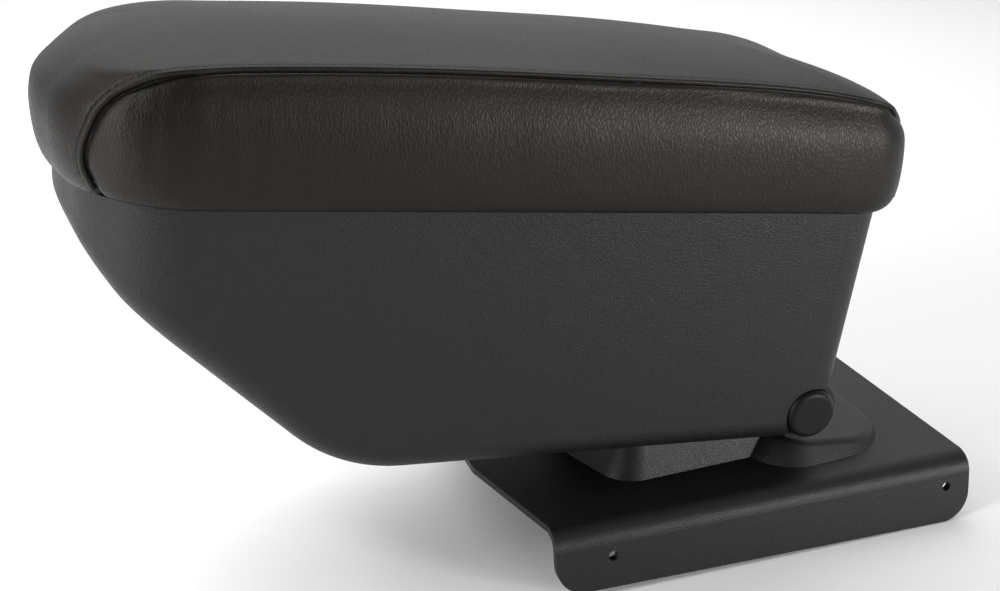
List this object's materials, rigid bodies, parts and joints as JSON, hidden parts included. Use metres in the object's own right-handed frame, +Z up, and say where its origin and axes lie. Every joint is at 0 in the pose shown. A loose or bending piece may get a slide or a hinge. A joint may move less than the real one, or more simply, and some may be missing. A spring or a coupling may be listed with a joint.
{
  "type": "car centre armrest",
  "caption": "Padded car armrest with an opening leather-covered lid over a storage box that tilts on a pivot above a screwed-on adapter plate.",
  "frame": {"origin": "on the underside of the adapter plate, on the middle plane, on the flat land ahead of the hump", "axes": "+X to the rear of the car, +Y to its right, +Z up; the plate is level and the armrest's nose points to -X"},
  "size_m": [0.3755, 0.1608, 0.2365],
  "materials": {
    "grained_sheet": "fine pebble grain, satin black",
    "box_shell": "fine leather grain, satin black",
    "cap_plastic": "fine grain, satin black",
    "black_steel": "black powder coat",
    "zinc_steel": "zinc plated",
    "nylon": "natural nylon",
    "rubber": "matte black",
    "board": "plain black moulding",
    "foam": "open-cell foam",
    "cover_centre": "grained black synthetic leather",
    "cover_side": "grained black synthetic leather"
  },
  "bodies": {
    "base": {"adapter_plate": "grained_sheet", "pivot_bracket": "black_steel", "backing_plate": "zinc_steel", "bracket_bolts": "zinc_steel", "bracket_washers": "zinc_steel", "bracket_nuts": "zinc_steel", "ear_bush_left": "nylon", "ear_bush_right": "nylon", "rest_pads": "rubber"},
    "armrest": {"storage_box": "box_shell", "pivot_bolt": "zinc_steel", "pivot_nut": "zinc_steel", "pivot_washers": "zinc_steel", "spacer_tubes": "zinc_steel", "pivot_cap_left": "cap_plastic", "pivot_cap_right": "cap_plastic", "box_leaf_left": "zinc_steel", "box_leaf_right": "zinc_steel", "box_hinge_screws": "zinc_steel"},
    "lid": {"lid_pan": "board", "foam_pad": "foam", "centre_panel": "cover_centre", "side_panel_left": "cover_side", "side_panel_right": "cover_side", "lid_leaf_left": "zinc_steel", "lid_leaf_right": "zinc_steel", "hinge_pins": "zinc_steel", "lid_hinge_screws": "zinc_steel", "lid_buffers": "rubber"}
  },
  "joints": [
    {"name": "armrest_tilt", "type": "hinge", "parent": "base", "child": "armrest", "pos_m": [0.116, 0, 0.031], "axis": [0, 1, 0], "range_deg": [0, 80]},
    {"name": "lid_hinge", "type": "hinge", "parent": "armrest", "child": "lid", "pos_m": [0.14413, 0, 0.11828], "axis": [0, 1, 0], "range_deg": [0, 80]}
  ]
}
